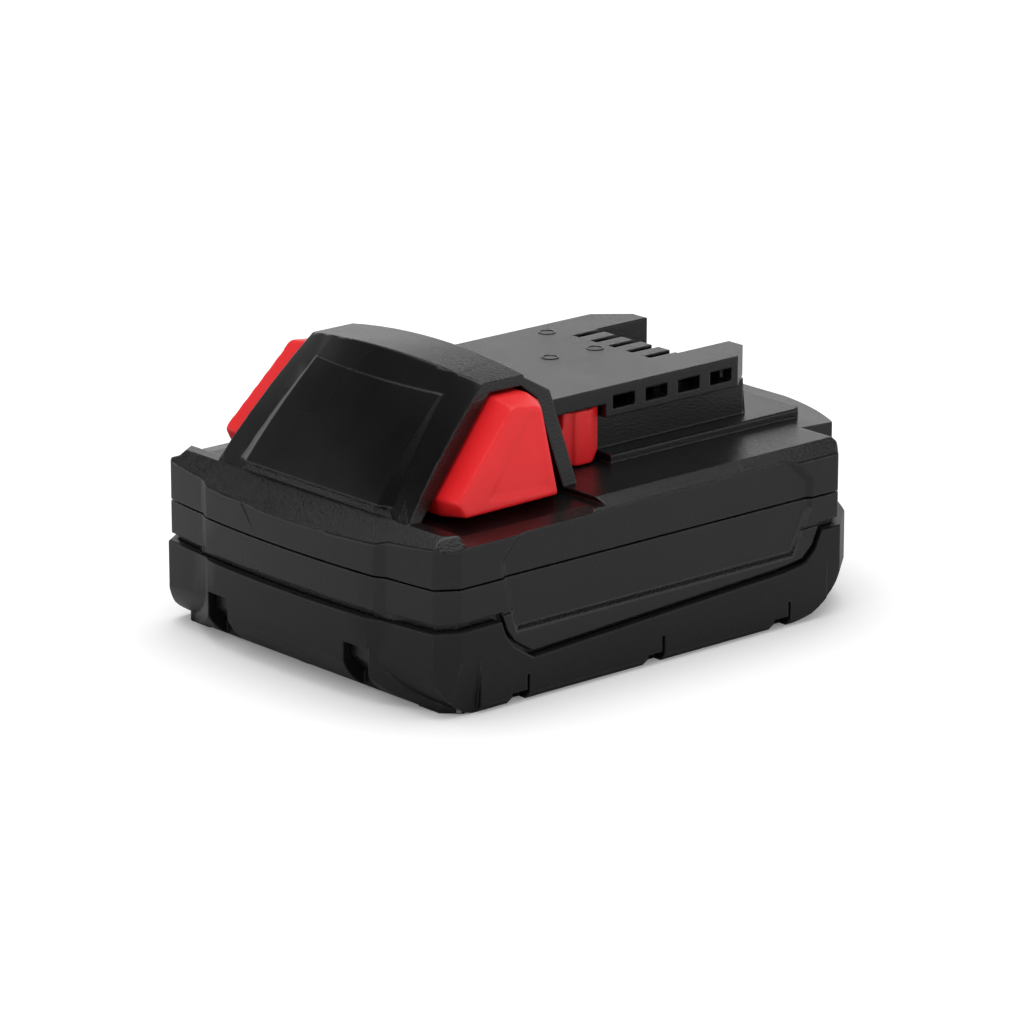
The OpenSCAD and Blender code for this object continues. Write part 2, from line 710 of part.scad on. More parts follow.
module latch_body() {
    difference() {
        union() {
            cap(0, web_in);
            box(rear_top[0] - 8, rear_foot[0] - strap_w + 0.6, -arm_out, -arm_in, deck_z + 1, head_z - 1);
            box(rear_top[0] - 8, catch_front - 2, 0.9 - catch_face, -arm_in, deck_z + 1, head_z - 1);
            intersection() {
                along_y(-rail_half, -arm_in) polygon([
                    [catch_back, deck_z + 0.3], [catch_front - 1.8, deck_z + 0.3], [catch_front, deck_z + 2],
                    [catch_front, catch_top], [catch_back, catch_top]]);
                linear_extrude(80) polygon([
                    [catch_back, -arm_in], [catch_back, 0.9 - catch_face], [-1.9, 0.9 - catch_face],
                    [-1.2, -catch_face], [2.3, -catch_face], [catch_front, 1.3 - catch_face],
                    [catch_front, -arm_in]]);
            }
            translate([spring_x, -web_in - 0.1, spring_z]) rotate([-90, 0, 0])
                cylinder(r = spring_d / 2 - spring_wire - 0.3, h = 3, $fn = 48);
        }
        cap(latch_wall, web_in + web_t);
        box(1.5, 2, -rail_half, 0.9 - catch_face, catch_top - 2.2, 60);
        button_field();
    }
    along_y(-frame_half - 0.5, -web_in - 0.1) polygon([
        [-24.4, pocket_z + latch_gap + 0.1], [-22.8, pocket_z + latch_gap + 0.1], [-22.8, 49], [-24.4, 49]]);
}

// Sunk triangular field of the button

module button_field() {
    f = inset([face_ring[0] + [3, 1], face_ring[1], face_ring[2], face_ring[3] + [-0.6, 0]], 1.1);
    sink = 0.35;
    loft([
        [for (p = f) [p[0], -face_y(p[1]) + sink, p[1]]],
        [for (p = f) [p[0], -face_y(p[1]) - 2, p[1]]]]);
}

module latch_right() {
    color([0.78, 0.06, 0.07]) latch_body();
}

module latch_left() {
    color([0.78, 0.06, 0.07]) mirror([0, 1, 0]) latch_body();
}

// Latch spring: one helical wire between the middle rib and the latch web

spring_r = (spring_d - spring_wire) / 2;
spring_from = rib_half + 0.05 + spring_wire / 2;
spring_to = web_in - 0.05 - spring_wire / 2;
spring_pitch = (spring_to - spring_from) / spring_turns;
spring_steps = 18;
wire_sides = 6;
function wire_at(k) = let (a = 360 * k / spring_steps)
    [spring_r * cos(a), -spring_from - spring_pitch * k / spring_steps, spring_r * sin(a)];
function wire_ring(k) = let (
        a = 360 * k / spring_steps,
        out = [cos(a), 0, sin(a)],
        run = unit([-spring_r * sin(a) * 2 * PI, -spring_pitch, spring_r * cos(a) * 2 * PI]),
        side = cross(run, out))
    [for (j = [0 : wire_sides - 1]) let (b = 360 * j / wire_sides)
        wire_at(k) + spring_wire / 2 * (cos(b) * out + sin(b) * side)];
spring_gap = min([for (k = [0 : spring_steps], j = [-3 : 3])
    norm(wire_at(k + spring_steps + j) - wire_at(k))]) - spring_wire;
echo(spring_gap = spring_gap);

module spring_body() {
    translate([spring_x, 0, spring_z])
        loft([for (k = [0 : spring_turns * spring_steps]) wire_ring(k)]);
}

module spring_right() {
    color([0.7, 0.71, 0.72]) spring_body();
}

module spring_left() {
    color([0.7, 0.71, 0.72]) mirror([0, 1, 0]) spring_body();
}

// Cells lie across the pack in one row, ends alternating

module cell(i) {
    up = i % 2 == 0 ? 1 : -1;
    x = (i - 2) * cell_pitch;
    color([0.16, 0.36, 0.52]) translate([x, 0, cell_z]) rotate([-90 * up, 0, 0]) {
        difference() {
            translate([0, 0, -cell_l / 2]) cylinder(r = cell_r, h = cell_l - 0.8);
            translate([0, 0, cell_l / 2 - 1.4]) difference() {
                cylinder(r = cell_r - 0.8, h = 2);
                translate([0, 0, -1]) cylinder(r = 4.6, h = 4);
            }
        }
        translate([0, 0, cell_l / 2 - 2]) cylinder(r = 4.6, h = 2);
    }
}

module cell_1() { cell(0); }

module cell_2() { cell(1); }

module cell_3() { cell(2); }

module cell_4() { cell(3); }

module cell_5() { cell(4); }

// Retainer: top combs over the cells with bosses for the board

module cell_retainer() {
    color([0.2, 0.2, 0.21]) difference() {
        union() {
            box(-42, 42, -30, 30, pane_z, pane_z + pane_t);
            both() box(-45.4, 45.4, 24, 28, cell_z + cell_r * 0.5, pane_z + pane_t);
            for (x = boss_x, y = [-boss_y, boss_y]) post(x, y, 2.6, pane_z, board_z);
        }
        for (i = [-2 : 2]) along_y(-60, 60) translate([i * cell_pitch, cell_z]) circle(r = cell_r + 0.15);
        box(-38, -16, -20, 20, 0, 60);
        box(24, 38, -20, 20, 0, 60);
        box(-6, 13, -20, 20, 0, 60);
        for (x = boss_x, y = [-boss_y, boss_y]) post(x, y, 1.05, pane_z + 0.4, 60);
        both() box(44.6, 60, 0, 60, 0, seam_z - 3);
        both() box(-60, -44.6, 0, 60, 0, seam_z - 3);
    }
}

// Nickel strips: series links on both ends of the row

module strip(side, x0, x1) {
    y0 = side > 0 ? cell_l / 2 : -cell_l / 2 - strip_t;
    color([0.75, 0.74, 0.7]) difference() {
        box(x0, x1, y0, y0 + strip_t, cell_z - strip_w / 2, cell_z + strip_w / 2);
        for (x = [-2 : 2]) box(x * cell_pitch - 0.4, x * cell_pitch + 0.4, y0 - 1, y0 + 2,
            cell_z - strip_w / 2 + 1.5, cell_z + strip_w / 2 - 1.5);
    }
}

module strip_a1() { strip(1, -2 * cell_pitch - 4.4, -2 * cell_pitch + 4.4); }

module strip_a2() { strip(1, -cell_pitch - 5.5, 5.5); }

module strip_a3() { strip(1, cell_pitch - 5.5, 2 * cell_pitch + 4.4); }

module strip_b1() { strip(-1, -2 * cell_pitch - 4.4, -cell_pitch + 5.5); }

module strip_b2() { strip(-1, -5.5, cell_pitch + 5.5); }

module strip_b3() { strip(-1, 2 * cell_pitch - 4.4, 2 * cell_pitch + 4.4); }

module insulator(side) {
    y0 = side > 0 ? cell_l / 2 + strip_t : -cell_l / 2 - strip_t - sheet_t;
    color([0.8, 0.72, 0.55]) box(-41.2, 41.2, y0, y0 + sheet_t, cell_z - 8, cell_z + 8);
}

module insulator_left() { insulator(1); }

module insulator_right() { insulator(-1); }

// Circuit board with its parts

module circuit_board() {
    color([0.05, 0.3, 0.16]) difference() {
        box(board_x0, board_x0 + board_l, -board_w / 2, board_w / 2, board_z, board_z + board_t);
        for (x = boss_x, y = [-boss_y, boss_y]) post(x, y, 1.2, 0, 60);
        for (i = [-2 : 2])
            box(block_x0 + 2.4, block_x0 + 4.6, i * slot_pitch - 0.8, i * slot_pitch + 0.8, 0, 60);
    }
}

module controller_chip() {
    color([0.04, 0.04, 0.045]) box(2, 9, -4, 4, board_z + board_t, board_z + board_t + 1.2);
}

module shunt() {
    color([0.6, 0.58, 0.52]) box(-8, -2, 6, 9, board_z + board_t, board_z + board_t + 0.9);
}

module thermistor() {
    color([0.5, 0.3, 0.1]) box(-8.5, -5.5, -10, -8.4, board_z + board_t, board_z + board_t + 1);
}

// Terminal block with five contact chambers

module terminal_block() {
    top = rail_roof - 0.3;
    color([0.13, 0.13, 0.14]) difference() {
        union() {
            box(block_x0, block_x1, -block_half, block_half, board_z + board_t, top);
            both() box(block_x0 - 2.6, block_x1, block_half - 2.4, block_half,
                board_z + board_t, board_z + board_t + 3);
        }
        for (i = [-2 : 2]) {
            box(block_x0 + 1.4, block_x1 + 1, i * slot_pitch - slot_w / 2, i * slot_pitch + slot_w / 2,
                slot_z, 80);
            box(block_x0 + 2.3, block_x0 + 4.7, i * slot_pitch - 0.9, i * slot_pitch + 0.9, 0, slot_z + 1);
        }
        both() box(block_x0 + 1.5, block_x1 + 1, slot_pitch * 2 + slot_w / 2 + 1, block_half - 1,
            board_z + board_t + 4, 80);
    }
}

// Contact: two spring leaves standing on a foot through the board

module contact(i) {
    y = (i - 2) * slot_pitch;
    h = slot_w / 2 - 0.1;
    color([0.8, 0.62, 0.3]) {
        box(block_x0 + 2.5, block_x0 + 4.5, y - 0.7, y + 0.7, board_z - 0.4, slot_z + 0.4);
        box(block_x0 + 1.7, block_x1 - 0.1, y - h, y + h, slot_z + 0.1, slot_z + 0.6);
        box(block_x0 + 1.7, block_x1 - 0.1, y - h, y - h + leaf_t, slot_z + 0.1, rail_roof - 0.9);
        box(block_x0 + 1.7, block_x1 - 0.1, y + h - leaf_t, y + h, slot_z + 0.1, rail_roof - 0.9);
    }
}

module contact_1() { contact(0); }

module contact_2() { contact(1); }

module contact_3() { contact(2); }

module contact_4() { contact(3); }

module contact_5() { contact(4); }

// Screws

module screw_body(x, y, r, head_r, z0, head_h, z1, up) {
    color([0.55, 0.55, 0.57]) difference() {
        union() {
            post(x, y, r, z0, z1);
            if (up) post(x, y, head_r, z0, z0 + head_h);
            if (!up) post(x, y, head_r, z1 - head_h, z1);
        }
        translate([x, y, up ? z0 - 0.5 : z1 - 0.6]) {
            translate([-head_r * 0.6, -0.25, 0]) cube([head_r * 1.2, 0.5, 1.1]);
            translate([-0.25, -head_r * 0.6, 0]) cube([0.5, head_r * 1.2, 1.1]);
        }
    }
}

module board_screw(x, y) {
    top = board_z + board_t;
    screw_body(x, y, 1, 1.9, pane_z + 0.8, 1, top + 1, false);
}

module board_screw_1() { board_screw(boss_x[0], boss_y); }

module board_screw_2() { board_screw(boss_x[0], -boss_y); }

module case_screw(x, y) {
    screw_body(x, y, screw_d / 2, screw_head / 2, 0.2, 1.2, screw_end, true);
}

module case_screw_1() { case_screw(screw_at[0], -screw_y); }

module case_screw_2() { case_screw(screw_at[0], screw_y); }

module case_screw_3() { case_screw(screw_at[1], -screw_y); }

module case_screw_4() { case_screw(screw_at[1], screw_y); }

translate([-x_mid, 0, 0]) {
    upper_case();
    lower_case();
    base_frame();
    latch_left();
    latch_right();
    spring_left();
    spring_right();
    cell_1();
    cell_2();
    cell_3();
    cell_4();
    cell_5();
    cell_retainer();
    strip_a1();
    strip_a2();
    strip_a3();
    strip_b1();
    strip_b2();
    strip_b3();
    insulator_left();
    insulator_right();
    circuit_board();
    controller_chip();
    shunt();
    thermistor();
    terminal_block();
    contact_1();
    contact_2();
    contact_3();
    contact_4();
    contact_5();
    board_screw_1();
    board_screw_2();
    case_screw_1();
    case_screw_2();
    case_screw_3();
    case_screw_4();
}
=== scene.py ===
import json
import math

import bmesh
import bpy
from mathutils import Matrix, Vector
from mathutils.bvhtree import BVHTree
from mathutils.geometry import intersect_point_line

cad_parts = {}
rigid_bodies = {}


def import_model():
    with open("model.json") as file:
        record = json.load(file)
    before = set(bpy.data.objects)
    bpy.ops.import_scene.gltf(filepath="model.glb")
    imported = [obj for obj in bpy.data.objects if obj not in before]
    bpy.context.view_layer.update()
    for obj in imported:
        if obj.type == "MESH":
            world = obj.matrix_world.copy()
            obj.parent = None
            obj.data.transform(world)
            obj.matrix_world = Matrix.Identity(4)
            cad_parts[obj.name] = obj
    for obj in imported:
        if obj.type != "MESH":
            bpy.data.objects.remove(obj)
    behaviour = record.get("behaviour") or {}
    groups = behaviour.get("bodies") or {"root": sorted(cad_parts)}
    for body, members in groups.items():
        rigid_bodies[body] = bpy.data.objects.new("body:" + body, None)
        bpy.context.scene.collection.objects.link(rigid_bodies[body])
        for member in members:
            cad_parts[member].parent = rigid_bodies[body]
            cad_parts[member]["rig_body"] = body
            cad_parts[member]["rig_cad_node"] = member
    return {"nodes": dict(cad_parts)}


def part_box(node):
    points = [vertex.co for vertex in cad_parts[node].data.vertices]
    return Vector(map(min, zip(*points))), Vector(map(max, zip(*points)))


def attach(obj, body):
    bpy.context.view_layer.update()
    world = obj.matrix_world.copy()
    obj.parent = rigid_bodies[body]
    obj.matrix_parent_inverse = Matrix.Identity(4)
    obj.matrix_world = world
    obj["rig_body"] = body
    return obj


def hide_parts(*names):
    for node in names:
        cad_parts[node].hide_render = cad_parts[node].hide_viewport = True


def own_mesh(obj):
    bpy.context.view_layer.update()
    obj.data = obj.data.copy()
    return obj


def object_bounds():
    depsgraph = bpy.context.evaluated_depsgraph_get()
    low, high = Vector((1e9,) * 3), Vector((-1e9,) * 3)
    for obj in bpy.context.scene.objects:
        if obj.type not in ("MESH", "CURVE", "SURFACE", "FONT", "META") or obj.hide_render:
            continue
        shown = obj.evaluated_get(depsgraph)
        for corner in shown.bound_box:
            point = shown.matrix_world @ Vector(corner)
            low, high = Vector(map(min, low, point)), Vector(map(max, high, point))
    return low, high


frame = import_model()
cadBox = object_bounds()
mm = 0.001
print("frame loaded,", len(frame["nodes"]), "nodes")


# small helpers for working on one object at a time

def selectOnly(obj):
    bpy.ops.object.select_all(action="DESELECT")
    obj.select_set(True)
    bpy.context.view_layer.objects.active = obj


def applyModifier(obj, kind, **values):
    selectOnly(obj)
    modifier = obj.modifiers.new(kind.lower(), kind)
    for name, value in values.items():
        setattr(modifier, name, value)
    bpy.ops.object.modifier_apply(modifier=modifier.name)


mergeLook = {"weld": 0.02, "collapse": 0.05, "flat": 0.3}


def mergedCopy(nodeName, pieceName):
    # a CAD node's loose triangles become one welded mesh with flat faces as single faces
    selectOnly(frame["nodes"][nodeName])
    bpy.ops.object.duplicate()
    piece = bpy.context.object
    piece.name = pieceName
    piece.data.name = pieceName
    piece.parent = None
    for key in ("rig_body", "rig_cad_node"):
        del piece[key]
    bpy.ops.object.mode_set(mode="EDIT")
    bpy.ops.mesh.select_all(action="SELECT")
    bpy.ops.mesh.customdata_custom_splitnormals_clear()
    bpy.ops.mesh.remove_doubles(threshold=mergeLook["weld"] * mm)
    bpy.ops.mesh.dissolve_degenerate(threshold=mergeLook["collapse"] * mm)
    bpy.ops.mesh.dissolve_limited(angle_limit=math.radians(mergeLook["flat"]))
    bpy.ops.object.mode_set(mode="OBJECT")
    return piece


def skyDirections(count):
    # rays spread evenly over a ball
    golden = math.pi * (3 - math.sqrt(5))
    directions = []
    for i in range(count):
        z = 1 - 2 * (i + 0.5) / count
        r = math.sqrt(1 - z * z)
        directions.append(Vector((r * math.cos(golden * i), r * math.sin(golden * i), z)))
    return directions


def solidTree(names):
    # the given CAD nodes as one search tree
    points = []
    triangles = []
    for name in names:
        mesh = frame["nodes"][name].data
        start = len(points)
        points += [v.co.copy() for v in mesh.vertices]
        triangles += [[start + i for i in p.vertices] for p in mesh.polygons]
    return BVHTree.FromPolygons(points, triangles)


outerTree = solidTree([
    "upper_case", "lower_case", "base_frame", "latch_left", "latch_right", "terminal_block"])
skyLook = {"rays": 60, "lift": 0.05}
sky = skyDirections(skyLook["rays"])
# limits that the edge rounding keeps to
roundLook = {"bend": 35.0, "sliver": 0.15, "slant": 0.08, "stray": 0.5, "near": 0.15, "thin": 0.04,
             "small": 2e-9, "turned": 0.1, "clean": 0.001, "weight": 60}


def showsOutside(point):
    # true where some ray leaves the closed pack
    for direction in sky:
        if outerTree.ray_cast(point + direction * skyLook["lift"] * mm, direction)[0] is None:
            return True
    return False


def isBroad(face):
    # false for the thin slivers that lie between larger faces
    longest = max(edge.calc_length() for edge in face.edges)
    return 2 * face.calc_area() / longest > roundLook["sliver"] * mm


def edgeRoom(edge):
    # how wide a rounding can be before it runs over the next edges
    along = (edge.verts[1].co - edge.verts[0].co).normalized()
    room = 1.0
    for vert in edge.verts:
        for other in vert.link_edges:
            if other is edge:
                continue
            reach = other.other_vert(vert).co - vert.co
            across = reach.cross(along).length
            if across > roundLook["slant"] * reach.length:
                room = min(room, across)
    return room


def chainsOf(edges, bend):
    # edges that follow on from each other get one common width
    root = {edge.index: edge.index for edge in edges}

    def find(i):
        while root[i] != i:
            root[i] = root[root[i]]
            i = root[i]
        return i

    for edge in edges:
        for vert in edge.verts:
            along = (edge.other_vert(vert).co - vert.co).normalized()
            for other in vert.link_edges:
                if other.index in root and other is not edge:
                    onward = (other.other_vert(vert).co - vert.co).normalized()
                    if along.dot(onward) < -math.cos(bend):
                        root[find(edge.index)] = find(other.index)
    chains = {}
    for edge in edges:
        chains.setdefault(find(edge.index), []).append(edge)
    return list(chains.values())


def widthsFor(work, look):
    # one width in metres for each edge that is sharp, seen from outside and has room
    ruled = {}
    for edge in work.edges:
        if len(edge.link_faces) != 2 or edge.calc_face_angle() < math.radians(look["sharp"]):
            continue
        middle = (edge.verts[0].co + edge.verts[1].co) / 2
        if not all(isBroad(face) for face in edge.link_faces) or not showsOutside(middle):
            continue
        for rule in look["edges"]:
            if rule["where"](middle / mm, edge):
                ruled[edge.index] = rule["width"] * mm
                break
    widths = {}
    least = look["least"] * mm
    sharp = [edge for edge in work.edges if edge.index in ruled]
    for chain in chainsOf(sharp, math.radians(roundLook["bend"])):
        rooms = {edge.index: min(ruled[edge.index], look["share"] * edgeRoom(edge)) for edge in chain}
        roomy = [room for room in rooms.values() if room >= least]
        for index, room in rooms.items():
            if room >= least:
                widths[index] = max(min(roomy), least)
    return widths


def faultsOf(mesh, tree, reach):
    # places where the rounding left the old surface or turned a face over
    places = []
    strayed = set()
    for vert in mesh.vertices:
        if tree.find_nearest(vert.co)[3] > reach:
            strayed.add(vert.index)
    for edge in mesh.edges:
        if strayed.intersection(edge.vertices):
            places += [mesh.vertices[i].co.copy() for i in edge.vertices]
    mesh.calc_loop_triangles()
    for triangle in mesh.loop_triangles:
        corners = [mesh.vertices[i].co for i in triangle.vertices]
        longest = max((corners[i] - corners[i - 1]).length for i in range(3))
        if triangle.area > max(roundLook["thin"] * mm * longest / 2, roundLook["small"]):
            middle = (corners[0] + corners[1] + corners[2]) / 3
            if tree.find_nearest(middle)[1].dot(triangle.normal) < roundLook["turned"]:
                places += [corner.copy() for corner in corners]
    return places


def bevelBy(piece, source, widths, look):
    # a fresh copy of the mesh, with the widths as bevel weights and the other sharp edges kept crisp
    widest = max(widths.values())
    mesh = source.copy()
    mesh.name = piece.name
    work = bmesh.new()
    work.from_mesh(mesh)
    layer = work.edges.layers.float.new("bevel_weight_edge")
    for edge in work.edges:
        if edge.index in widths:
            edge[layer] = widths[edge.index] / widest
        elif len(edge.link_faces) == 2 and all(isBroad(face) for face in edge.link_faces):
            edge.smooth = edge.calc_face_angle() < math.radians(look["crisp"])
    work.to_mesh(mesh)
    work.free()
    old = piece.data
    piece.data = mesh
    bpy.data.meshes.remove(old)
    applyModifier(piece, "BEVEL", limit_method="WEIGHT", width=widest, segments=look["steps"],
                  use_clamp_overlap=False, miter_outer="MITER_SHARP", profile=0.5)


def roundEdges(piece, look):
    # bevels the edges, leaves out those near a fault, and tries again from the plain mesh
    source = piece.data.copy()
    tree = BVHTree.FromPolygons([v.co for v in source.vertices], [p.vertices for p in source.polygons])
    work = bmesh.new()
    work.from_mesh(source)
    work.edges.ensure_lookup_table()
    ends = [(edge.verts[0].co.copy(), edge.verts[1].co.copy()) for edge in work.edges]
    widths = widthsFor(work, look)
    work.free()
    wanted = len(widths)
    known = {place[:] for place in faultsOf(source, tree, mm)}
    for attempt in range(look["tries"]):
        bevelBy(piece, source, widths, look)
        faults = faultsOf(piece.data, tree, roundLook["stray"] * max(widths.values()))
        faults = [place for place in faults if place[:] not in known]
        if not faults:
            break
        for index in list(widths):
            start, end = ends[index]
            for place in faults:
                share = intersect_point_line(place, start, end)[1]
                point = start.lerp(end, min(1, max(0, share)))
                if (point - place).length < roundLook["near"] * mm + widths[index]:
                    del widths[index]
                    break
    selectOnly(piece)
    bpy.ops.object.mode_set(mode="EDIT")
    bpy.ops.mesh.select_all(action="SELECT")
    bpy.ops.mesh.dissolve_degenerate(threshold=roundLook["clean"] * mm)
    bpy.ops.object.mode_set(mode="OBJECT")
    bpy.ops.object.shade_smooth_by_angle(angle=math.radians(look["smooth"]))
    applyModifier(piece, "WEIGHTED_NORMAL", keep_sharp=True, weight=roundLook["weight"])
    bpy.data.meshes.remove(source)
    print(piece.name, len(widths), "of", wanted, "edges rounded,", attempt + 1, "tries,",
          len(faults), "faults left,", len(piece.data.polygons), "faces")


# shader node helpers

def newMaterial(name):
    material = bpy.data.materials.new(name)
    material.use_nodes = True
    material.node_tree.nodes.clear()
    return material


def addNode(tree, kind, **values):
    node = tree.nodes.new(kind)
    for name, value in values.items():
        if name in node.inputs:
            node.inputs[name].default_value = value
        else:
            setattr(node, name, value)
    return node


def ramp(tree, source, low, high):
    node = addNode(tree, "ShaderNodeMapRange")
    node.inputs["From Min"].default_value = low
    node.inputs["From Max"].default_value = high
    tree.links.new(source, node.inputs["Value"])
    return node.outputs["Result"]


def mixColour(tree, factor, first, second):
    node = tree.nodes.new("ShaderNodeMix")
    node.data_type = "RGBA"
    tree.links.new(factor, node.inputs["Factor"])
    for socket, value in ((node.inputs[6], first), (node.inputs[7], second)):
        if isinstance(value, tuple):
            socket.default_value = (*value, 1)
        else:
            tree.links.new(value, socket)
    return node.outputs[2]


def mathNode(tree, operation, first, second):
    node = addNode(tree, "ShaderNodeMath", operation=operation)
    for socket, value in zip(node.inputs, (first, second)):
        if isinstance(value, (int, float)):
            socket.default_value = value
        else:
            tree.links.new(value, socket)
    return node.outputs[0]


# shared shader groups

def makeGroup(name, inputs, outputs):
    tree = bpy.data.node_groups.new(name, "ShaderNodeTree")
    for socketName, kind, value in inputs:
        socket = tree.interface.new_socket(socketName, in_out="INPUT", socket_type=kind)
        if value is not None:
            socket.default_value = value
    for socketName, kind in outputs:
        tree.interface.new_socket(socketName, in_out="OUTPUT", socket_type=kind)
    return tree, tree.nodes.new("NodeGroupInput"), tree.nodes.new("NodeGroupOutput")


def makeGrainGroup():
    # moulded texture: fine grains on a slow mottle
    tree, source, sink = makeGroup(
        "mouldGrain",
        [("Vector", "NodeSocketVector", None), ("Grain", "NodeSocketFloat", 3000.0),
         ("Patch", "NodeSocketFloat", 90.0)],
        [("Height", "NodeSocketFloat"), ("Mottle", "NodeSocketFloat")])
    fine = addNode(tree, "ShaderNodeTexNoise", Detail=2.0, Roughness=0.6)
    tree.links.new(source.outputs["Vector"], fine.inputs["Vector"])
    tree.links.new(source.outputs["Grain"], fine.inputs["Scale"])
    slow = addNode(tree, "ShaderNodeTexNoise", Detail=4.0, Roughness=0.55)
    tree.links.new(source.outputs["Vector"], slow.inputs["Vector"])
    tree.links.new(source.outputs["Patch"], slow.inputs["Scale"])
    tree.links.new(ramp(tree, fine.outputs["Fac"], 0.3, 0.7), sink.inputs["Height"])
    tree.links.new(ramp(tree, slow.outputs["Fac"], 0.3, 0.7), sink.inputs["Mottle"])
    return tree


def makeEdgeHighlightGroup():
    # painted edge highlight mask: where the rounded normal leaves the true one, broken up by a noise
    tree, source, sink = makeGroup(
        "paintedEdgeHighlight",
        [("Vector", "NodeSocketVector", None), ("Radius", "NodeSocketFloat", 0.0006),
         ("Break", "NodeSocketFloat", 400.0)],
        [("Mask", "NodeSocketFloat")])
    bevel = addNode(tree, "ShaderNodeBevel")
    bevel.samples = 4
    tree.links.new(source.outputs["Radius"], bevel.inputs["Radius"])
    geometry = addNode(tree, "ShaderNodeNewGeometry")
    dot = addNode(tree, "ShaderNodeVectorMath", operation="DOT_PRODUCT")
    tree.links.new(bevel.outputs["Normal"], dot.inputs[0])
    tree.links.new(geometry.outputs["Normal"], dot.inputs[1])
    edge = ramp(tree, dot.outputs["Value"], 0.995, 0.85)
    noise = addNode(tree, "ShaderNodeTexNoise", Detail=3.0)
    tree.links.new(source.outputs["Vector"], noise.inputs["Vector"])
    tree.links.new(source.outputs["Break"], noise.inputs["Scale"])
    broken = mathNode(tree, "MULTIPLY", edge, ramp(tree, noise.outputs["Fac"], 0.3, 0.65))
    tree.links.new(broken, sink.inputs["Mask"])
    return tree


grainGroup = makeGrainGroup()
edgeHighlightGroup = makeEdgeHighlightGroup()


def mouldedPlastic(name, look):
    # grained plastic with a painted highlight that makes its edges paler, and soft corners
    material = newMaterial(name)
    tree = material.node_tree
    place = addNode(tree, "ShaderNodeTexCoord")
    grain = addNode(tree, "ShaderNodeGroup", node_tree=grainGroup, Grain=look["grain"], Patch=look["patch"])
    edgeHighlight = addNode(tree, "ShaderNodeGroup", node_tree=edgeHighlightGroup, Radius=look["highlightRadius"] * mm)
    edgeHighlight.inputs["Break"].default_value = look["highlightBreak"]
    for group in (grain, edgeHighlight):
        tree.links.new(place.outputs["Object"], group.inputs["Vector"])
    shader = addNode(tree, "ShaderNodeBsdfPrincipled")
    shader.inputs["Specular IOR Level"].default_value = look["specular"]
    sink = addNode(tree, "ShaderNodeOutputMaterial")
    body = mixColour(tree, grain.outputs["Mottle"], look["dark"], look["light"])
    speck = mathNode(tree, "MULTIPLY", grain.outputs["Height"], look["speck"])
    specked = mixColour(tree, speck, body, look["grainTint"])
    # painted highlight: the edges are mixed towards a paler tint
    highlightAmount = mathNode(tree, "MULTIPLY", edgeHighlight.outputs["Mask"], look["edgeHighlight"])
    highlighted = mixColour(tree, highlightAmount, specked, look["highlightTint"])
    tree.links.new(highlighted, shader.inputs["Base Color"])
    rough = mathNode(tree, "MULTIPLY_ADD", grain.outputs["Mottle"], look["roughSpread"])
    rough.node.inputs[2].default_value = look["rough"]
    tree.links.new(rough, shader.inputs["Roughness"])
    bump = addNode(tree, "ShaderNodeBump", Strength=look["bump"], Distance=look["bumpDepth"] * mm)
    corner = addNode(tree, "ShaderNodeBevel", Radius=look["cornerRadius"] * mm)
    corner.samples = 6
    tree.links.new(corner.outputs["Normal"], bump.inputs["Normal"])
    tree.links.new(grain.outputs["Height"], bump.inputs["Height"])
    tree.links.new(bump.outputs["Normal"], shader.inputs["Normal"])
    tree.links.new(shader.outputs["BSDF"], sink.inputs["Surface"])
    return material


caseLook = {
    "dark": (0.0028, 0.0028, 0.003), "light": (0.0044, 0.0044, 0.0046),
    "grain": 2600.0, "patch": 60.0, "grainTint": (0.008, 0.008, 0.0083), "speck": 0.5,
    # the paler edge tint below is a painted highlight along the edges
    "highlightTint": (0.065, 0.065, 0.066), "edgeHighlight": 0.75, "highlightRadius": 0.35, "highlightBreak": 500.0,
    "cornerRadius": 0.5,
    "rough": 0.22, "roughSpread": 0.06, "bump": 0.6, "bumpDepth": 0.05, "specular": 0.56}
smoothLook = dict(caseLook, speck=0.15, bump=0.12, bumpDepth=0.02, rough=0.26, specular=0.4)
baseLook = dict(caseLook, rough=0.32, bump=0.4, bumpDepth=0.04, specular=0.4)
latchLook = {
    "dark": (0.78, 0.012, 0.015), "light": (0.86, 0.017, 0.021),
    "grain": 2400.0, "patch": 70.0, "grainTint": (0.86, 0.03, 0.035), "speck": 0.25,
    # the paler edge tint below is a painted highlight along the edges
    "highlightTint": (0.75, 0.06, 0.06), "edgeHighlight": 0.25, "highlightRadius": 0.5, "highlightBreak": 500.0,
    "cornerRadius": 0.4,
    "rough": 0.34, "roughSpread": 0.08, "bump": 0.2, "bumpDepth": 0.03, "specular": 0.4}

caseBlack = mouldedPlastic("caseBlack", caseLook)
slopeBlack = mouldedPlastic("slopeBlack", smoothLook)
baseBlack = mouldedPlastic("baseBlack", baseLook)
latchRed = mouldedPlastic("latchRed", latchLook)

plainColours = {
    "retainer": (0.05, 0.05, 0.052), "block": (0.012, 0.012, 0.013), "insulator": (0.55, 0.47, 0.33),
    "board": (0.012, 0.08, 0.03), "chip": (0.015, 0.015, 0.016)}
metalLook = {"grain": 3000.0, "patch": 200.0, "roughSpread": 0.12, "bump": 0.15, "bumpDepth": 0.01}
cellLook = {
    "sleeve": 31.6, "border": 0.1, "dark": (0.04, 0.13, 0.2), "light": (0.06, 0.18, 0.27),
    "steel": (0.55, 0.55, 0.56), "rough": 0.3, "roughSpread": 0.1, "grain": 1800.0, "patch": 120.0,
    "bump": 0.15, "bumpDepth": 0.02}


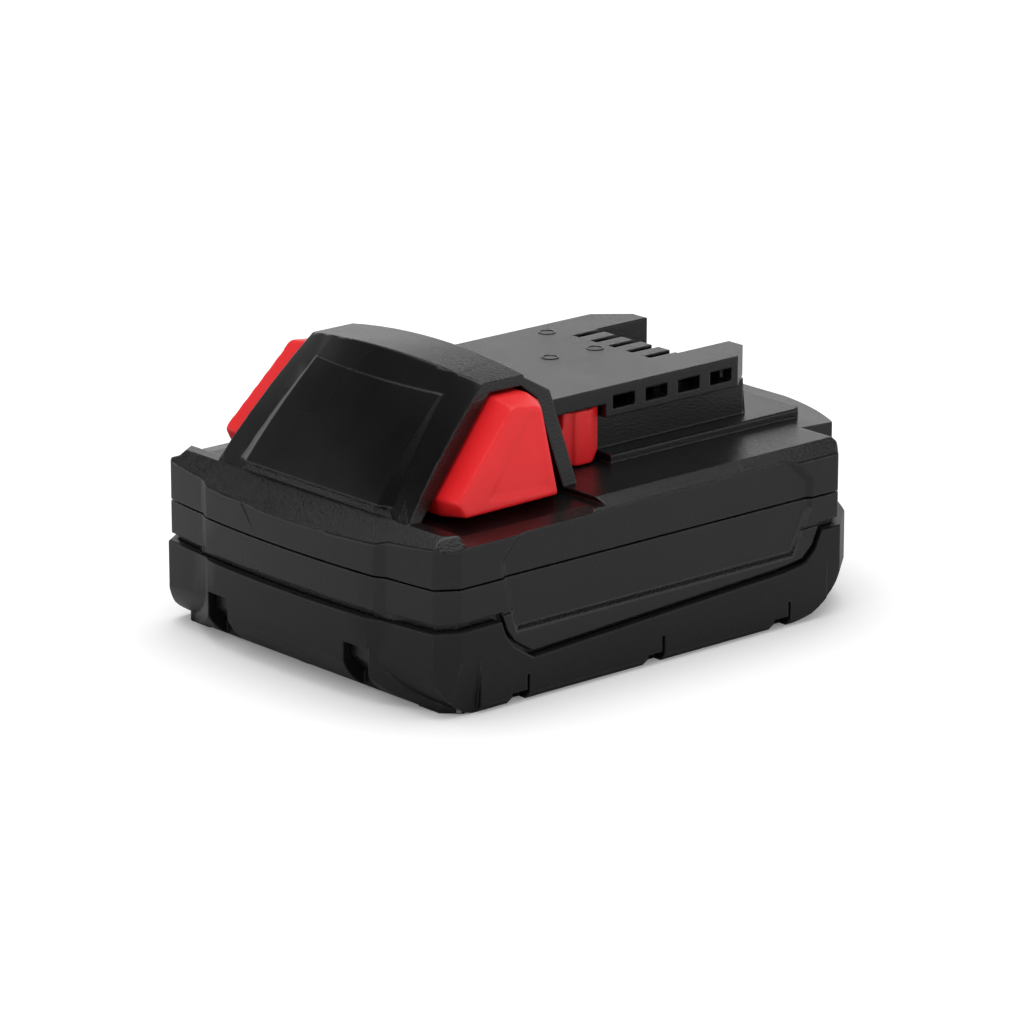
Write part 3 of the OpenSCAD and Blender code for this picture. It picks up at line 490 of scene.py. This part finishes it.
def metal(name, dark, light, rough):
    # bare metal with a slow change of tone and fine scratches
    material = newMaterial(name)
    tree = material.node_tree
    place = addNode(tree, "ShaderNodeTexCoord")
    grain = addNode(tree, "ShaderNodeGroup", node_tree=grainGroup, Grain=metalLook["grain"])
    grain.inputs["Patch"].default_value = metalLook["patch"]
    tree.links.new(place.outputs["Object"], grain.inputs["Vector"])
    shader = addNode(tree, "ShaderNodeBsdfPrincipled", Metallic=1.0)
    sink = addNode(tree, "ShaderNodeOutputMaterial")
    tree.links.new(mixColour(tree, grain.outputs["Mottle"], dark, light), shader.inputs["Base Color"])
    roughness = mathNode(tree, "MULTIPLY_ADD", grain.outputs["Mottle"], metalLook["roughSpread"])
    roughness.node.inputs[2].default_value = rough
    tree.links.new(roughness, shader.inputs["Roughness"])
    bump = addNode(tree, "ShaderNodeBump", Strength=metalLook["bump"], Distance=metalLook["bumpDepth"] * mm)
    tree.links.new(grain.outputs["Height"], bump.inputs["Height"])
    tree.links.new(bump.outputs["Normal"], shader.inputs["Normal"])
    tree.links.new(shader.outputs["BSDF"], sink.inputs["Surface"])
    return material


def cellFinish(name, look):
    # coloured sleeve round the can, bare steel at both ends
    material = newMaterial(name)
    tree = material.node_tree
    place = addNode(tree, "ShaderNodeTexCoord")
    split = addNode(tree, "ShaderNodeSeparateXYZ")
    tree.links.new(place.outputs["Object"], split.inputs[0])
    grain = addNode(tree, "ShaderNodeGroup", node_tree=grainGroup, Grain=look["grain"], Patch=look["patch"])
    tree.links.new(place.outputs["Object"], grain.inputs["Vector"])
    middle = mathNode(tree, "ABSOLUTE", split.outputs["Y"], 0)
    bare = ramp(tree, middle, look["sleeve"] * mm, (look["sleeve"] + look["border"]) * mm)
    sleeve = mixColour(tree, grain.outputs["Mottle"], look["dark"], look["light"])
    shader = addNode(tree, "ShaderNodeBsdfPrincipled")
    sink = addNode(tree, "ShaderNodeOutputMaterial")
    tree.links.new(mixColour(tree, bare, sleeve, look["steel"]), shader.inputs["Base Color"])
    tree.links.new(bare, shader.inputs["Metallic"])
    rough = mathNode(tree, "MULTIPLY_ADD", grain.outputs["Mottle"], look["roughSpread"])
    rough.node.inputs[2].default_value = look["rough"]
    tree.links.new(rough, shader.inputs["Roughness"])
    bump = addNode(tree, "ShaderNodeBump", Strength=look["bump"], Distance=look["bumpDepth"] * mm)
    tree.links.new(grain.outputs["Height"], bump.inputs["Height"])
    tree.links.new(bump.outputs["Normal"], shader.inputs["Normal"])
    tree.links.new(shader.outputs["BSDF"], sink.inputs["Surface"])
    return material


nodeMaterials = {"case": caseBlack, "base": baseBlack, "latch": latchRed}
nodeMaterials["cell"] = cellFinish("cellSleeve", cellLook)
# each plain plastic also gets a paler edge tint, a painted highlight along its edges
for slotName, colour in plainColours.items():
    nodeMaterials[slotName] = mouldedPlastic(slotName + "Finish", dict(
        caseLook, dark=tuple(0.9 * c for c in colour), light=tuple(1.1 * c for c in colour),
        grainTint=tuple(1.2 * c for c in colour), highlightTint=tuple(1.6 * c for c in colour)))
for slotName, name, dark, light, rough in (
        ("nickel", "nickelStrip", (0.5, 0.48, 0.44), (0.62, 0.6, 0.56), 0.28),
        ("shunt", "shuntMetal", (0.42, 0.36, 0.3), (0.5, 0.44, 0.38), 0.3),
        ("contact", "contactBrass", (0.62, 0.44, 0.18), (0.72, 0.54, 0.26), 0.25),
        ("spring", "springSteel", (0.42, 0.42, 0.43), (0.55, 0.55, 0.56), 0.25),
        ("screw", "screwSteel", (0.3, 0.3, 0.31), (0.42, 0.42, 0.43), 0.3)):
    nodeMaterials[slotName] = metal(name, dark, light, rough)
slotByName = {"cell_retainer": "retainer", "circuit_board": "board", "controller_chip": "chip",
              "thermistor": "chip", "terminal_block": "block"}
slotByStart = {"upper": "case", "lower": "case", "strip": "nickel", "board": "screw", "case": "screw"}
for nodeName, node in frame["nodes"].items():
    start = nodeName.split("_")[0]
    slot = slotByName.get(nodeName) or slotByStart.get(start, start)
    node.data.materials.clear()
    node.data.materials.append(nodeMaterials[slot])
print("materials made")

# the three shells and two latches, with moulded edge radii
heights = {"deck": 32.0, "seam": 23.1, "rail": 45.8, "railHead": 40.1, "baseRound": 3.0}
slopeNormal = {"x": -0.5, "z": 0.4, "side": 0.9}


def onSlope(normal):
    return normal.x < slopeNormal["x"] and normal.z > slopeNormal["z"]


def slopeSide(edge):
    # an edge between the sloped face and a side of the tower
    normals = [face.normal for face in edge.link_faces]
    return any(onSlope(n) for n in normals) and any(abs(n.y) > slopeNormal["side"] for n in normals)


def everywhere(p, edge):
    return True


edgeLook = {"crisp": 9.0, "share": 0.4, "least": 0.08, "steps": 3, "smooth": 33.0, "tries": 8}
upperLook = {
    **edgeLook, "sharp": 20.0, "edges": [
        {"where": lambda p, edge: p.z < heights["seam"] + 0.5, "width": 0.12},
        {"where": lambda p, edge: p.z > heights["deck"] + 1 and slopeSide(edge), "width": 0.9},
        {"where": lambda p, edge: p.z > heights["railHead"] - 1, "width": 0.3},
        {"where": everywhere, "width": 0.4}]}
lowerLook = {
    **edgeLook, "sharp": 24.0, "edges": [
        {"where": lambda p, edge: p.z > heights["seam"] - 0.6, "width": 0.12},
        {"where": everywhere, "width": 0.35}]}
baseEdgeLook = {
    **edgeLook, "sharp": 24.0, "edges": [
        {"where": lambda p, edge: p.z > heights["baseRound"], "width": 0.4}]}
latchSoft = {"voxel": 0.3, "smooth": 0.5, "rounds": 6, "capRounds": 9, "capFrom": 20.5, "capTo": 23.5}


def softenBody(piece, look):
    # an even mesh that the smoothing can round like a moulded button
    applyModifier(piece, "REMESH", mode="VOXEL", voxel_size=look["voxel"] * mm, use_smooth_shade=True)
    applyModifier(piece, "SMOOTH", factor=look["smooth"], iterations=look["rounds"])
    cap = piece.vertex_groups.new(name="cap")
    for vert in piece.data.vertices:
        share = (abs(vert.co.y) / mm - look["capFrom"]) / (look["capTo"] - look["capFrom"])
        cap.add([vert.index], min(1, max(0, share)), "REPLACE")
    applyModifier(piece, "SMOOTH", factor=look["smooth"], iterations=look["capRounds"], vertex_group="cap")
    print(piece.name, len(piece.data.polygons), "faces")


def slopeFaces(piece, material):
    # the smooth sloped face of the tower has its own finish
    piece.data.materials.append(material)
    for polygon in piece.data.polygons:
        if polygon.center.z > (heights["deck"] + 1) * mm and onSlope(polygon.normal):
            polygon.material_index = 1


shells = [
    ("upper_case", "upperShell", "pack", "case", caseBlack, upperLook),
    ("lower_case", "lowerShell", "pack", "case", caseBlack, lowerLook),
    ("base_frame", "baseShell", "pack", "base", baseBlack, baseEdgeLook),
    ("latch_left", "buttonLeft", "latch_left", "latch", latchRed, None),
    ("latch_right", "buttonRight", "latch_right", "latch", latchRed, None)]
for nodeName, pieceName, body, slot, material, look in shells:
    piece = mergedCopy(nodeName, pieceName)
    if look:
        roundEdges(piece, look)
    else:
        softenBody(piece, latchSoft)
    piece.data.materials.clear()
    piece.data.materials.append(material)
    if nodeName == "upper_case":
        slopeFaces(piece, slopeBlack)
    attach(piece, body)
    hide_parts(nodeName)
print("shells made")

# shallow round mould marks on the rail plate, one modelled and the others copied
markLook = {"radius": 1.7, "rim": 0.45, "rise": 0.1, "sunk": 0.25, "dish": 0.14, "top": heights["rail"],
            "sides": 48, "edge": 0.06, "sharp": 40.0,
            "spots": [(17.91, 15.48), (16.96, 1.24), (6.63, 1.95)]}


def makeMark(look):
    # a low disc with a raised rim
    spot = look["spots"][0]
    tall = (look["rise"] + look["sunk"]) * mm
    bpy.ops.object.select_all(action="DESELECT")
    bpy.ops.mesh.primitive_cylinder_add(
        vertices=look["sides"], radius=look["radius"] * mm, depth=tall,
        location=(spot[0] * mm, spot[1] * mm, look["top"] * mm + look["rise"] * mm - tall / 2))
    mark = bpy.context.object
    mark.name = "mouldMark1"
    bpy.ops.object.transform_apply(location=True, rotation=True, scale=True)
    bpy.ops.object.mode_set(mode="EDIT")
    bpy.ops.mesh.select_all(action="DESELECT")
    bpy.ops.object.mode_set(mode="OBJECT")
    for polygon in mark.data.polygons:
        polygon.select = polygon.normal.z > 0.9
    bpy.ops.object.mode_set(mode="EDIT")
    bpy.ops.mesh.select_mode(type="FACE")
    bpy.ops.mesh.inset(thickness=look["rim"] * mm)
    bpy.ops.mesh.extrude_region_move(TRANSFORM_OT_translate={"value": (0, 0, -look["dish"] * mm)})
    bpy.ops.object.mode_set(mode="OBJECT")
    applyModifier(mark, "BEVEL", limit_method="ANGLE", angle_limit=math.radians(look["sharp"]),
                  width=look["edge"] * mm, segments=2)
    bpy.ops.object.shade_smooth_by_angle(angle=math.radians(look["sharp"]))
    return mark


marks = [makeMark(markLook)]
firstX, firstY = markLook["spots"][0]
for i, spot in enumerate(markLook["spots"][1:]):
    selectOnly(marks[0])
    bpy.ops.object.duplicate()
    copied = bpy.context.object
    copied.name = "mouldMark" + str(i + 2)
    copied.location = ((spot[0] - firstX) * mm, (spot[1] - firstY) * mm, 0)
    bpy.ops.object.transform_apply(location=True, rotation=True, scale=True)
    marks.append(copied)
for mark in marks:
    mark.data.materials.clear()
    mark.data.materials.append(caseBlack)
    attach(mark, "pack")
print(len(marks), "mould marks")

# low feet that close the base under its tail corners
footLook = {"x": (-51.3, -44.0), "y": (-37.6, -29.0), "height": 2.6, "corner": 3.0, "bevel": 0.25,
            "sharp": 40.0, "smooth": 35.0}


def makeFoot(look):
    # a low block whose outer corner is cut like the corner of the base
    size = (look["x"][1] - look["x"][0], look["y"][1] - look["y"][0], look["height"])
    middle = ((look["x"][0] + look["x"][1]) / 2, (look["y"][0] + look["y"][1]) / 2, look["height"] / 2)
    bpy.ops.object.select_all(action="DESELECT")
    bpy.ops.mesh.primitive_cube_add(
        size=1, location=[value * mm for value in middle], scale=[value * mm for value in size])
    foot = bpy.context.object
    foot.name = "cornerFootRight"
    bpy.ops.object.transform_apply(location=True, rotation=True, scale=True)
    bpy.ops.object.mode_set(mode="EDIT")
    bpy.ops.mesh.select_mode(type="EDGE")
    bpy.ops.mesh.select_all(action="DESELECT")
    bpy.ops.object.mode_set(mode="OBJECT")
    for edge in foot.data.edges:
        ends = [foot.data.vertices[i].co / mm for i in edge.vertices]
        edge.select = all(end.x < middle[0] and end.y < middle[1] for end in ends)
    bpy.ops.object.mode_set(mode="EDIT")
    bpy.ops.mesh.bevel(offset=look["corner"] * mm, segments=1, affect="EDGES")
    bpy.ops.object.mode_set(mode="OBJECT")
    applyModifier(foot, "BEVEL", limit_method="ANGLE", angle_limit=math.radians(look["sharp"]),
                  width=look["bevel"] * mm, segments=4)
    bpy.ops.object.shade_smooth_by_angle(angle=math.radians(look["smooth"]))
    return foot


rightFoot = makeFoot(footLook)
selectOnly(rightFoot)
bpy.ops.object.duplicate()
leftFoot = bpy.context.object
leftFoot.name = "cornerFootLeft"
leftFoot.scale = (1, -1, 1)
bpy.ops.object.transform_apply(location=True, rotation=True, scale=True)
bpy.ops.object.mode_set(mode="EDIT")
bpy.ops.mesh.select_all(action="SELECT")
bpy.ops.mesh.normals_make_consistent(inside=False)
bpy.ops.object.mode_set(mode="OBJECT")
for foot in (rightFoot, leftFoot):
    foot.data.materials.clear()
    foot.data.materials.append(baseBlack)
    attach(foot, "pack")
print("corner feet made")

# return springs, one wire wound from the middle rib to each latch
springLook = {"wire": 0.7, "sides": 14, "turns": 5, "steps": 36, "travel": 4.0, "gap": 0.05, "smooth": 40.0}


def makeSpring(side, look):
    # a ring of wire wound along y from the rib towards its latch
    low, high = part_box("spring_" + side)
    wire = look["wire"] * mm
    ends = sorted((low.y, high.y), key=abs)
    toward = math.copysign(1, ends[1])
    start = ends[0] + toward * wire / 2
    run = abs(ends[1] - ends[0]) - wire
    bpy.ops.object.select_all(action="DESELECT")
    bpy.ops.mesh.primitive_circle_add(
        vertices=look["sides"], radius=wire / 2,
        location=((low.x + high.x) / 2, start, (low.z + high.z) / 2))
    spring = bpy.context.object
    spring.name = "spring" + side.capitalize()
    bpy.ops.object.mode_set(mode="EDIT")
    bpy.ops.mesh.select_all(action="SELECT")
    bpy.ops.transform.translate(value=((high.z - low.z - wire) / 2, 0, 0))
    bpy.ops.object.mode_set(mode="OBJECT")
    applyModifier(spring, "SCREW", axis="Y", angle=2 * math.pi, iterations=look["turns"],
                  screw_offset=toward * run / look["turns"],
                  steps=look["steps"], render_steps=look["steps"])
    bpy.ops.object.transform_apply(location=True, rotation=True, scale=True)
    bpy.ops.object.mode_set(mode="EDIT")
    bpy.ops.mesh.select_all(action="SELECT")
    bpy.ops.mesh.fill_holes(sides=0)
    bpy.ops.mesh.select_all(action="SELECT")
    bpy.ops.mesh.normals_make_consistent(inside=False)
    bpy.ops.object.mode_set(mode="OBJECT")
    bpy.ops.object.shade_smooth_by_angle(angle=math.radians(look["smooth"]))
    spring.data.materials.clear()
    spring.data.materials.append(nodeMaterials["spring"])
    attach(spring, "pack")
    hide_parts("spring_" + side)
    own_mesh(spring)
    return spring


for side in ("left", "right"):
    made = makeSpring(side, springLook)
    print(made.name, len(made.data.polygons), "faces")

# camera at the photograph's viewing angle
cameraLook = {"location": (-0.63099, -0.71536, 0.30564), "back": (-0.6310, -0.7202, 0.2885),
              "lens": 192.9, "sensor": 36.0}
bpy.ops.object.camera_add(location=cameraLook["location"])
camera = bpy.context.object
camera.rotation_euler = Vector(cameraLook["back"]).to_track_quat("Z", "Y").to_euler()
camera.data.lens = cameraLook["lens"]
camera.data.sensor_width = cameraLook["sensor"]
bpy.context.scene.camera = camera

# pale floor that reads as white to the camera and keeps the shadow
floorLook = {"size": 12.0, "drop": 0.02, "colour": (0.9, 0.9, 0.9), "mirrored": (0.42, 0.42, 0.42),
             "lift": 0.14}
bpy.ops.object.select_all(action="DESELECT")
floorHeight = cadBox[0].z - floorLook["drop"] * mm
bpy.ops.mesh.primitive_plane_add(size=floorLook["size"], location=(0, 0, floorHeight))
floor = bpy.context.object
floor.name = "floor"
floorMaterial = newMaterial("floorPale")
tree = floorMaterial.node_tree
sink = addNode(tree, "ShaderNodeOutputMaterial")
diffuse = addNode(tree, "ShaderNodeBsdfDiffuse")
glow = addNode(tree, "ShaderNodeEmission", Strength=floorLook["lift"])
rays = addNode(tree, "ShaderNodeLightPath")
pale = mixColour(tree, rays.outputs["Is Glossy Ray"], floorLook["colour"], floorLook["mirrored"])
tree.links.new(pale, diffuse.inputs["Color"])
both = addNode(tree, "ShaderNodeAddShader")
pick = addNode(tree, "ShaderNodeMixShader")
tree.links.new(diffuse.outputs[0], both.inputs[0])
tree.links.new(glow.outputs[0], both.inputs[1])
tree.links.new(rays.outputs["Is Camera Ray"], pick.inputs[0])
tree.links.new(diffuse.outputs[0], pick.inputs[1])
tree.links.new(both.outputs[0], pick.inputs[2])
tree.links.new(pick.outputs[0], sink.inputs["Surface"])
floor.data.materials.append(floorMaterial)

# studio: soft overhead box, low bright surround, dark upper surround in reflections
studioLook = {"overhead": {"location": (0.15, 0.25, 1.3), "size": 1.3, "power": 9.0},
              "surround": 0.8, "lowEdge": 0.34, "highEdge": 0.48, "darkTop": 0.015}
bpy.ops.object.light_add(type="AREA", location=studioLook["overhead"]["location"])
overhead = bpy.context.object
overhead.data.shape = "SQUARE"
overhead.data.size = studioLook["overhead"]["size"]
overhead.data.energy = studioLook["overhead"]["power"]
overhead.rotation_euler = Vector(studioLook["overhead"]["location"]).to_track_quat("Z", "Y").to_euler()

world = bpy.data.worlds.new("studio")
bpy.context.scene.world = world
world.use_nodes = True
tree = world.node_tree
tree.nodes.clear()
sink = addNode(tree, "ShaderNodeOutputWorld")
place = addNode(tree, "ShaderNodeTexCoord")
split = addNode(tree, "ShaderNodeSeparateXYZ")
tree.links.new(place.outputs["Generated"], split.inputs[0])
fall = ramp(tree, split.outputs["Z"], studioLook["highEdge"], studioLook["lowEdge"])
shade = mixColour(tree, fall, (studioLook["darkTop"],) * 3, (1.0, 1.0, 1.0))
rays = addNode(tree, "ShaderNodeLightPath")
clear = mathNode(tree, "MAXIMUM", rays.outputs["Is Camera Ray"], rays.outputs["Is Transmission Ray"])
soft = mixColour(tree, clear, (studioLook["surround"],) * 3, (1.0, 1.0, 1.0))
seen = mixColour(tree, rays.outputs["Is Glossy Ray"], soft, shade)
background = addNode(tree, "ShaderNodeBackground")
tree.links.new(seen, background.inputs["Color"])
tree.links.new(background.outputs[0], sink.inputs["Surface"])

bpy.context.scene.view_settings.view_transform = "Standard"
print("stage set")
